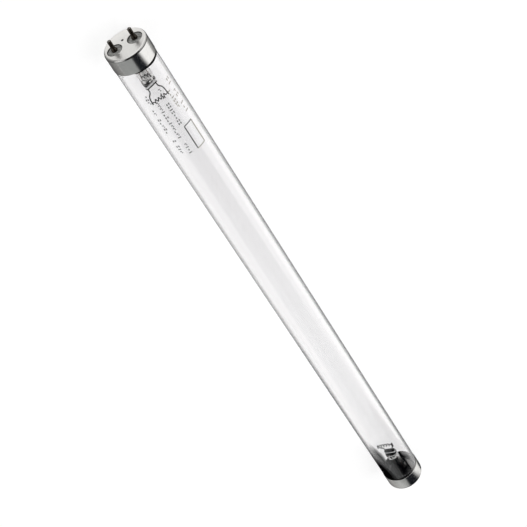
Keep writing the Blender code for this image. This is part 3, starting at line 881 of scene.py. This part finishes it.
def cement_mesh():
    """Ring of cement, uneven where it was squeezed out towards the lamp."""
    steps = 2 * ARC_STEPS
    length = CEMENT_END - CEMENT_START
    inner, outer = [], []
    for i in range(steps + 1):
        depth = CEMENT_START + length * i / steps
        inner.append((depth, shoulder_radius(depth) + FIT_GAP))
        outer.append((depth, CEMENT_RADIUS))
    mesh = turned("cement_ring", inner + outer[::-1], TUBE_SEGMENTS, closed=True)
    squeeze = (SKIRT_LENGTH - CEMENT_END) / 2
    for vertex in mesh.vertices:
        share = (vertex.co.x - CEMENT_START) / length
        radial = Vector((0, vertex.co.y, vertex.co.z))
        is_outer = radial.length > CEMENT_RADIUS - TINY
        angle = degrees(atan2(vertex.co.y, vertex.co.z))
        spill = CEMENT_SPILL * max(0.0, cos(radians(angle - CEMENT_SPILL_ANGLE))) ** 0.5
        vertex.co.x += share**4 * (squeeze * (0.5 + noise.noise(radial * CEMENT_LUMPS)) + spill)
        surface = shoulder_radius(vertex.co.x)
        if is_outer:
            radius = max(CEMENT_RADIUS, surface + CEMENT_SKIN)
        else:
            radius = surface + FIT_GAP * (1 - share) + CEMENT_SKIN / 4 * share
        vertex.co.yz = radial.yz.normalized() * radius
    return mesh


def stem_section(depth, half_width, half_height, squareness):
    """One ring of the stem, from round at squareness 2 to nearly square, or a point."""
    if half_width < TINY:
        return [(depth, 0, 0)]
    ring = []
    for i in range(STEM_SEGMENTS):
        angle = 2 * pi * i / STEM_SEGMENTS
        cosine, sine = cos(angle), sin(angle)
        y = half_width * copysign(abs(cosine) ** (2 / squareness), cosine)
        z = half_height * copysign(abs(sine) ** (2 / squareness), sine)
        ring.append((depth, y, z))
    return ring


def stem_mesh():
    """Flared glass tube, flattened at its tip into the press."""
    flare_round = FLARE_RADIUS - STEM_DIAMETER / 2
    flare_end = BULB_END_DEPTH + STEM_WALL + flare_round
    steps = 2 * ARC_STEPS
    base_side = arc((flare_end, FLARE_RADIUS), flare_round + STEM_WALL, 180, 270, steps)
    lamp_side = arc((flare_end, FLARE_RADIUS), flare_round, 180, 270, steps)
    seat = EXHAUST_SEAT_RADIUS
    hollow = [(HOLLOW_END, 0.0), (HOLLOW_END, seat), (EXHAUST_SEAT, seat)]
    hollow.append((EXHAUST_SEAT - STEM_WALL, HOLLOW_RADIUS))
    rows = [(depth, r, r, ROUND_SQUARENESS) for depth, r in hollow + base_side[::-1] + lamp_side]
    thick, wide = PRESS_THICKNESS / 2, PRESS_WIDTH / 2
    for i in range(steps + 1):
        share = i / steps
        roundness = cos(pi / 2 * share)
        rows.append(
            (
                NECK_DOWN + PRESS_BLEND * share,
                wide + (STEM_TIP_RADIUS - wide) * roundness,
                thick + (STEM_TIP_RADIUS - thick) * roundness,
                PRESS_SQUARENESS + (ROUND_SQUARENESS - PRESS_SQUARENESS) * roundness,
            )
        )
    for i in range(ARC_STEPS + 1):
        turn = pi / 2 * i / ARC_STEPS
        cut = PRESS_ROUND * (1 - cos(turn))
        depth = PRESS_DEPTH - PRESS_ROUND * (1 - sin(turn))
        rows.append((depth, wide - cut, thick - cut, PRESS_SQUARENESS))
    rows.append((PRESS_DEPTH, 0.0, 0.0, ROUND_SQUARENESS))
    blank = skinned("glass_stem", [stem_section(*row) for row in rows])
    reach = 2 * STEM_TIP_RADIUS
    centre = (HOLLOW_END - EXHAUST_HOLE, 0, reach / 2)
    hole = bar("exhaust_hole", "Z", centre, EXHAUST_HOLE / 2, reach, PIN_SEGMENTS)
    return with_booleans(blank, [hole])


def exhaust_mesh():
    """Thin tube, open in the stem's seat and melted shut inside the cap."""
    radius = EXHAUST_DIAMETER / 2
    bore = radius - EXHAUST_WALL
    tip = EXHAUST_TIP_DEPTH
    outside, inside = [], []
    for i in range(ARC_STEPS + 1):
        turn = pi / 2 * i / ARC_STEPS
        forward = (1 - cos(turn)) * EXHAUST_TIP_LENGTH
        outside.append((tip + forward, radius * sin(turn)))
        start = tip + 3 * EXHAUST_WALL
        share = (EXHAUST_TIP_LENGTH - 3 * EXHAUST_WALL) * (1 - cos(turn))
        inside.append((start + share, bore * sin(turn)))
    outside.append((EXHAUST_END, radius))
    inside.append((EXHAUST_END, bore))
    return turned("exhaust_glass", outside + inside[::-1], PIN_SEGMENTS)


def outer_lead(name, side, press_turn):
    """Wire from the press down the hollow stem and out into a pin."""
    spread = side * LEAD_OFFSET
    in_stem = side * (EXHAUST_DIAMETER / 2 + HOLLOW_RADIUS) / 2
    bend = EXHAUST_SEAT - STEM_WALL
    flare_gap = (PIN_BACK + BULB_END_DEPTH) / 2
    pin_side = side * PIN_OFFSET
    in_press = (
        (WELD_DEPTH, spread),
        (bend, spread),
        (bend - LEAD_BEND_LENGTH, in_stem),
        (BULB_END_DEPTH + STEM_WALL, in_stem),
    )
    corners = [turned_point(depth, across, 0, press_turn) for depth, across in in_press]
    corners += [
        Vector((flare_gap, (in_stem + pin_side) / 2, 0)),
        Vector((flare_gap, pin_side, 0)),
        Vector((PIN_TIP_ROUND - PIN_LENGTH, pin_side, 0)),
    ]
    return wire(name, rounded_path(corners, 2 * LEAD_DIAMETER), LEAD_DIAMETER)


def support_wire(name, side, press_turn, coil_turn):
    """Wire that leaves the press straight, kinks outwards and hooks round the coil's leg."""
    spread = side * LEAD_OFFSET
    wide = side * SUPPORT_SPREAD / 2
    reach = side * COIL_SPAN / 2
    kink = PRESS_DEPTH + SUPPORT_STRAIGHT
    hook_start = COIL_DEPTH - 2 * HOOK_RADIUS
    low, high = COIL_RISE - HOOK_RADIUS, COIL_RISE + HOOK_RADIUS
    halfway = (press_turn + coil_turn) / 2
    corners = (
        (WELD_DEPTH, spread, 0, press_turn),
        (kink, spread, 0, press_turn),
        (kink + SUPPORT_KINK, wide, low / 2, halfway),
        (hook_start, reach, low, coil_turn),
        (COIL_DEPTH, reach, low, coil_turn),
    )
    path = rounded_path([turned_point(*corner) for corner in corners], 2 * SUPPORT_DIAMETER)
    for depth, up in arc((COIL_DEPTH, COIL_RISE), HOOK_RADIUS, -90, 90)[1:]:
        path.append(turned_point(depth, reach, up, coil_turn))
    path.append(turned_point(COIL_DEPTH - HOOK_TAIL, reach, high, coil_turn))
    return wire(name, path, SUPPORT_DIAMETER)


def coil_centre(along, length, radius):
    """A point of the coarse coil, along its leg, its turns and its leg."""
    half = length / 2
    share = min(max((along + half) / length, 0.0), 1.0)
    angle = 2 * pi * COIL_TURNS * share
    ease = 1.0
    if abs(along) > half - COIL_CORE / 2:
        ease = max(0.0, (half + COIL_CORE / 2 - abs(along)) / COIL_CORE)
    return Vector((radius * cos(angle) * ease, along, radius * sin(angle) * ease))


def filament_mesh(name, coil_turn):
    """The electrode: a fine coil of thin wire, wound again into a coarse coil."""
    length, radius = COIL_SPAN - 2 * COIL_LEG, (COIL_DIAMETER - COIL_CORE) / 2
    end = COIL_SPAN / 2 + SUPPORT_DIAMETER
    places = [-end + 2 * end * i / COIL_STEPS for i in range(COIL_STEPS + 1)]
    centres = [coil_centre(along, length, radius) for along in places]
    fine_radius = (COIL_CORE - FINE_WIRE) / 2
    points, run = [], 0.0
    for before, here, after in zip(centres, centres[1:], centres[2:]):
        run += (here - before).length
        forward = (after - before).normalized()
        side = forward.cross(Vector((1, 0, 0.001))).normalized()
        up = side.cross(forward)
        angle = 2 * pi * run / FINE_PITCH
        place = here + fine_radius * (cos(angle) * side + sin(angle) * up)
        depth, up = COIL_DEPTH + place.x, COIL_RISE + place.z
        points.append(turned_point(depth, place.y, up, coil_turn))
    return wire(name, points, FINE_WIRE, FINE_WIRE_SIDES)


def drop_mesh():
    """A smooth flattened drop of mercury."""
    bm = bmesh.new()
    bmesh.ops.create_icosphere(bm, subdivisions=4, radius=1.0)
    size = (DROP_HIGH - DROP_LOW) / 2
    bmesh.ops.scale(bm, verts=bm.verts, vec=size)
    return finished_mesh(bm, "mercury_bead")


# Marks printed on the glass: plain bars and dots in rows, and a plain frame

def add_bar(bm, along, angle, length, height):
    """A thin curved bar of ink that wraps round the glass."""
    inner = GLASS_RADIUS + INK_LIFT
    spread = height / GLASS_RADIUS
    rings = []
    for depth in (along - length / 2, along + length / 2):
        for radius in (inner, inner + INK_THICKNESS):
            row = []
            for i in range(BAR_STEPS + 1):
                turn = angle + spread * (i / BAR_STEPS - 0.5)
                place = (depth, radius * sin(turn), radius * cos(turn))
                row.append(bm.verts.new(place))
            rings.append(row)
    near_low, near_high, far_low, far_high = rings
    sides = ((near_low, near_high), (near_high, far_high), (far_high, far_low), (far_low, near_low))
    for first, second in sides:
        for i in range(BAR_STEPS):
            bm.faces.new((first[i], first[i + 1], second[i + 1], second[i]))
    for i in (0, BAR_STEPS):
        bm.faces.new((near_low[i], near_high[i], far_high[i], far_low[i]))


def add_mark(bm, draw, along, angle, height, step):
    """One mark of a row: an upright bar, two stacked bars, or a dot beside a bar."""
    line = MARK_LINE
    quarter = height / 4 / GLASS_RADIUS
    kind = draw.choice(("upright", "stacked", "dotted", "short"))
    if kind == "upright":
        add_bar(bm, along, angle, line, height)
    elif kind == "stacked":
        add_bar(bm, along, angle - quarter, 0.6 * step, line)
        add_bar(bm, along, angle + 1.5 * quarter, 0.6 * step, line)
    elif kind == "dotted":
        add_bar(bm, along - 0.2 * step, angle, line, 0.6 * height)
        add_bar(bm, along + 0.25 * step, angle + quarter, line, line)
    else:
        add_bar(bm, along, angle + draw.choice((-1, 0, 1)) * quarter, 0.5 * step, line)


def print_meshes():
    """The marks, in one mesh for each ink."""
    draw = random.Random(MARK_SEED)
    meshes = {name: bmesh.new() for name in INKS}
    for start, end, angle, height, step, name in PRINT_ROWS:
        along = start
        while along < end:
            if draw.random() > INK_WORN_SHARE:
                depth = along * MM - BASE_X
                turn = radians(angle)
                add_mark(meshes[name], draw, depth, turn, height * MM, step * MM)
            along += step
    middle = (FRAME_START + FRAME_END) / 2 * MM - BASE_X
    length = (FRAME_END - FRAME_START) * MM
    low, high = radians(FRAME_LOW), radians(FRAME_HIGH)
    height = (high - low) * GLASS_RADIUS
    for name, side, angle in (("dark", -1, low), ("pale", 1, high)):
        add_bar(meshes[name], middle, angle, length, MARK_LINE)
        end = middle + side * length / 2
        add_bar(meshes[name], end, (low + high) / 2, MARK_LINE, height)
    return {name: finished_mesh(bm, f"ink_marks_{name}") for name, bm in meshes.items()}


# Building the lamp

def build_lamp():
    # Glasses: what colours and what covers the surface, index of refraction, specular
    # level, depth of the waves, range of roughness, and colour of the painted edge shade
    glasses = (
        ("clear_glass", bulb_shade_colour, dulled_patch, 1.48, 0.5, 0.01, (0.0, 0.02), (0.16, 0.16, 0.165)),
        ("stem_glass", stem_colour, press_shade_bands, 1.54, 0.16, 0.08, (0.04, 0.20), grey(0.22)),
        ("flare_shade_glass", flare_shade_colour, caked, 1.54, 0.03, 0.08, (0.1, 0.3), grey(0.05)),
    )
    # Colour and density of what the glasses absorb
    absorbed = (
        ((0.80, 0.803, 0.805), 30.0), ((0.80, 0.80, 0.795), 150.0), ((0.80, 0.80, 0.795), 250.0)
    )
    clear_glass, stem_glass, flare_shade_glass = [
        new_material(name, glass, *values, absorbed=taken)
        for (name, *values), taken in zip(glasses, absorbed)
    ]
    # Metals: dark and light colour, roughness where smooth and where rough, patches for
    # each millimetre, depth of the scratches, and what finishes the colour
    dark_brass, light_brass = (0.010, 0.008, 0.007), (0.085, 0.072, 0.058)
    metals = (
        ("tarnished_brass", dark_brass, light_brass, 0.22, 0.42, 1.1, 0.01, soldered),
        ("bare_copper", (0.09, 0.06, 0.05), (0.30, 0.20, 0.16), 0.25, 0.5, 1.5, 0.008),
        ("dark_nickel", grey(0.008), (0.06, 0.059, 0.056), 0.25, 0.5, 1.8, 0.008),
        ("liquid_mercury", (0.74, 0.75, 0.77), (0.86, 0.86, 0.88), 0.02, 0.06, 0.8, 0.001),
    )
    brass, copper, nickel, mercury = [
        new_material(name, metal, *values) for name, *values in metals
    ]
    aluminium = new_material("drawn_aluminium", cap_metal)
    moulded = new_material("moulded_board", board)
    baked = new_material("baked_cement", cement)
    coated = new_material("coated_coil", coating)

    middle = Matrix.Translation((0, 0, AXIS_HEIGHT))
    show("bulb_glass", bulb_mesh(), middle, clear_glass, "clear_glass", "glass_tube")
    shared = (
        ("cap_shell", cap_mesh(), aluminium, "cap_aluminium", "cap"),
        ("insulating_plate", insulator_mesh(), moulded, "insulating_board", "insulator"),
        ("cement_ring", cement_mesh(), baked, "basing_cement", "cement"),
        ("exhaust_glass", exhaust_mesh(), stem_glass, "stem_glass", "exhaust_tube"),
    )
    stem = stem_mesh()
    stem.materials.append(stem_glass)
    stem.materials.append(flare_shade_glass)
    # The flare inside the cap takes the dark glass, which is painted shade
    for face in stem.polygons:
        face.material_index = int(face.center.x < SKIRT_LENGTH)
    pin = pin_mesh()
    for end in ENDS:
        matrix = end_matrix(end)
        press_turn, coil_turn = PRESS_TURN[end], COIL_TURN[end]
        for name, mesh, made_of, slot, cad_node in shared:
            show(f"{name}_{end}", mesh, matrix, made_of, slot, f"{cad_node}_{end}")
        turn = Matrix.Rotation(press_turn, 4, "X")
        show(f"glass_stem_{end}", stem, matrix @ turn, stem_glass, "stem_glass", f"stem_{end}")
        for number, side in ((1, -1), (2, 1)):
            tag = f"{end}{number}"
            place = matrix @ Matrix.Translation((0, side * PIN_OFFSET, 0))
            show(f"contact_pin_{tag}", pin, place, brass, "pin_brass", f"pin_{tag}")
            name = f"lead_{tag}"
            lead = outer_lead(name, side, press_turn)
            show(name, lead, matrix, copper, "lead_copper", f"outer_lead_{tag}")
            name = f"support_{tag}"
            support = support_wire(name, side, press_turn, coil_turn)
            show(name, support, matrix, nickel, "support_nickel", f"support_wire_{tag}")
        name = f"coiled_electrode_{end}"
        electrode = filament_mesh(name, coil_turn)
        show(name, electrode, matrix, coated, "coated_coil", f"filament_{end}")
    for name, mesh in print_meshes().items():
        made_of = new_material(f"ink_{name}", ink, INKS[name])
        show(f"ink_marks_{name}", mesh, middle, made_of, "insulating_board")
    drop = Matrix.Translation((DROP_LOW + DROP_HIGH) / 2)
    show("mercury_bead", drop_mesh(), drop, mercury, "mercury", "mercury_drop")


# Floor, light and camera

FLOOR_HALF = 15.0
FLOOR_DROP = 0.02 * MM
FLOOR_GLOW = 0.75
FLOOR_COLOUR = 0.36
BOUNCE_COLOUR = 0.8
ROOM_LIGHT = 0.45
LAMP_SIZE = 1.2
KEY_PLACE, KEY_POWER = (0.2, 0.9, 1.3), 9.0
FILL_PLACE, FILL_POWER = (-0.4, -1.0, 1.2), 4.0

CAMERA_PLACE = (-0.725854, 0.008568, 0.762516)
CAMERA_AIM = (-0.028408, -0.002177, 0.01291)
CAMERA_ROLL = radians(147.9925)
CAMERA_LENS = 113.93
CAMERA_SENSOR = 36.0

CARD_STEPS = 8
EDGE = 0.001
SHARP = (EDGE, EDGE, EDGE, EDGE)
# Where the cards that lie along the tube start beside it
TUBE_SIDE = 0.0131


def lying(x_low, x_high, y_low, y_high, height):
    """The corners of a level card, with its height in millimetres."""
    z = height * MM
    return ((x_low, y_low, z), (x_high, y_low, z), (x_high, y_high, z), (x_low, y_high, z))


# Cards that metal and glass mirror: corners that go round, colour, how much of the
# card's size its first, right, far and left edge fade over, and whether glass that
# is looked through shows the card
CARDS = {
    "dark_card": (
        ((1.5, -0.17, 0.0), (1.5, 1.15, 0.0), (1.5, 2.20, 3.60), (1.5, -0.66, 3.60)),
        (0.008, 0.009, 0.012),
        (EDGE, 0.28, EDGE, 0.12),
        True,
    ),
    "side_card": (
        ((1.56, -4.0, -0.02), (1.56, 0.0, -0.02), (1.56, 0.0, 3.60), (1.56, -4.0, 3.60)),
        (0.29, 0.30, 0.30),
        SHARP,
        True,
    ),
    "light_card": (
        ((1.53, -1.5, -0.02), (1.53, -0.2, -0.02), (1.53, -0.3, 1.3), (1.53, -1.5, 1.3)),
        (0.50, 0.51, 0.51),
        (EDGE, 0.25, 0.35, 0.25),
        True,
    ),
    # Painted shadow: the three cards below lie on the floor on the side where the tube shades it,
    # and only mirrors see them
    "near_low_card": (
        lying(-0.6, 0.15, -3.0, -TUBE_SIDE, 0.6), grey(0.27), (EDGE, 0.2, EDGE, 0.2), False
    ),
    "far_low_card": (lying(0.10, 1.56, -3.0, -TUBE_SIDE, 0.5), grey(0.46), SHARP, False),
    "far_side_card": (
        lying(0.0, 0.2068, -0.3, -TUBE_SIDE, 0.7), grey(0.06), (EDGE, EDGE, EDGE, 0.4), False
    ),
    # Painted shade: a light grey card for the floor just in front of end a, a little shaded
    "front_card": (lying(-1.2, -0.222, -0.6, 0.6, 0.4), grey(0.82), (0.2, EDGE, 0.2, 0.3), False),
    # Painted shadow: a dark strip on the floor along the tube's other side, for its contact shadow
    "edge_card": (
        lying(-0.2165, 0.26, TUBE_SIDE, 0.060, 0.8), grey(0.03), (EDGE, EDGE, 0.6, EDGE), False
    ),
    "skirt_card": (
        lying(-0.2165, -0.17, 0.0185, 0.060, 0.9), grey(0.42), (0.15, 0.4, EDGE, EDGE), False
    ),
    "rear_card": (
        ((-2.5, -3.0, 1.2), (-2.5, 3.0, 1.2), (-2.5, 3.0, 3.6), (-2.5, -3.0, 3.6)),
        (0.05, 0.05, 0.055),
        (0.3, EDGE, EDGE, EDGE),
        True,
    ),
    "roof_card": (
        ((-2.5, -3.0, 3.6), (-2.5, 3.0, 3.6), (1.5, 3.0, 3.6), (1.5, -3.0, 3.6)),
        (0.05, 0.05, 0.055),
        SHARP,
        True,
    ),
}


def pale_floor(tree):
    """A floor that shows white, apart from the shadow that falls on it."""
    plain = node(tree, "BsdfDiffuse", {"Color": (*grey(BOUNCE_COLOUR), 1)})
    shaded = node(tree, "BsdfDiffuse", {"Color": (*grey(FLOOR_COLOUR), 1)})
    glow = node(tree, "Emission", {"Strength": FLOOR_GLOW})
    seen = node(tree, "AddShader", {0: shaded, 1: glow})
    is_seen = is_ray(tree, "Camera", "Glossy", "Transmission")
    return node(tree, "MixShader", {0: is_seen, 1: plain, 2: seen})


def add_floor():
    bm = bmesh.new()
    bmesh.ops.create_grid(bm, x_segments=1, y_segments=1, size=FLOOR_HALF)
    floor = in_scene("floor", finished_mesh(bm, "floor"))
    floor.data.materials.append(new_material("pale_floor", pale_floor))
    floor.location.z = -FLOOR_DROP


def add_room():
    """White all round where it is seen, and a softer level as light."""
    world = bpy.data.worlds.new("room")
    bpy.context.scene.world = world
    world.use_nodes = True
    tree = world.node_tree
    tree.nodes.clear()
    seen = is_ray(tree, "Camera", "Glossy", "Transmission")
    strength = ramp(tree, seen, ROOM_LIGHT, 1.0, 0.0, 1.0)
    background = node(tree, "Background", {"Color": (1, 1, 1, 1), "Strength": strength})
    node(tree, "OutputWorld", {"Surface": background})


def aim(item, place, target, roll=0.0):
    """Put a lamp or camera at a place, turned to look at a target."""
    item.location = place
    direction = Vector(target) - Vector(place)
    item.rotation_mode = "QUATERNION"
    turn = Quaternion((0, 0, 1), roll)
    item.rotation_quaternion = direction.to_track_quat("-Z", "Y") @ turn


def add_lamp(name, place, power):
    """A soft square lamp, left out of mirror reflections."""
    light = bpy.data.lights.new(name, "AREA")
    light.shape = "SQUARE"
    light.size = LAMP_SIZE
    light.energy = power
    lamp = in_scene(name, light)
    aim(lamp, place, (0, 0, 0))
    lamp.visible_glossy = False


def card_paint(tree, colour, soft):
    """A plain glow. Its four edges, in order, fade out over shares of the card's size."""
    uv = node(tree, "TexCoord").outputs["UV"]
    axes = node(tree, "SeparateXYZ", {0: uv})
    across, along = axes.outputs["X"], axes.outputs["Y"]
    near_edge, right_edge, far_edge, left_edge = soft
    mask = ramp(tree, along, 0, 1, 0, near_edge)
    mask = times(tree, mask, ramp(tree, across, 1, 0, 1 - right_edge, 1))
    mask = times(tree, mask, ramp(tree, along, 1, 0, 1 - far_edge, 1))
    mask = times(tree, mask, ramp(tree, across, 0, 1, 0, left_edge))
    glow = node(tree, "Emission", {"Color": (*colour, 1), "Strength": 1.0})
    return node(tree, "MixShader", {0: mask, 1: node(tree, "BsdfTransparent"), 2: glow})


def add_card(name, corners, colour, soft, through_glass):
    """A card that the camera doesn't see itself."""
    bm = bmesh.new()
    layer = bm.loops.layers.uv.new("card")
    first, second, third, fourth = [Vector(corner) for corner in corners]
    shares = [i / CARD_STEPS for i in range(CARD_STEPS + 1)]
    rows = []
    for up in shares:
        left, right = first.lerp(fourth, up), second.lerp(third, up)
        rows.append([bm.verts.new(left.lerp(right, across)) for across in shares])
    for i in range(CARD_STEPS):
        for j in range(CARD_STEPS):
            places = ((j, i), (j + 1, i), (j + 1, i + 1), (j, i + 1))
            face = bm.faces.new([rows[up][across] for across, up in places])
            for loop, (across, up) in zip(face.loops, places):
                loop[layer].uv = (shares[across], shares[up])
    mesh = bpy.data.meshes.new(name)
    bm.to_mesh(mesh)
    bm.free()
    mesh.materials.append(new_material(name, card_paint, colour, soft))
    card = in_scene(name, mesh)
    card.visible_camera = False
    card.visible_diffuse = False
    card.visible_transmission = through_glass
    card.visible_shadow = False


def add_camera():
    lens = bpy.data.cameras.new("camera")
    lens.lens = CAMERA_LENS
    lens.sensor_width = CAMERA_SENSOR
    camera = in_scene("camera", lens)
    aim(camera, CAMERA_PLACE, CAMERA_AIM, CAMERA_ROLL)
    bpy.context.scene.camera = camera


build_lamp()
add_floor()
add_room()
add_lamp("key_lamp", KEY_PLACE, KEY_POWER)
add_lamp("fill_lamp", FILL_PLACE, FILL_POWER)
for name, card in CARDS.items():
    add_card(name, *card)
add_camera()
bpy.context.scene.view_settings.view_transform = "Standard"
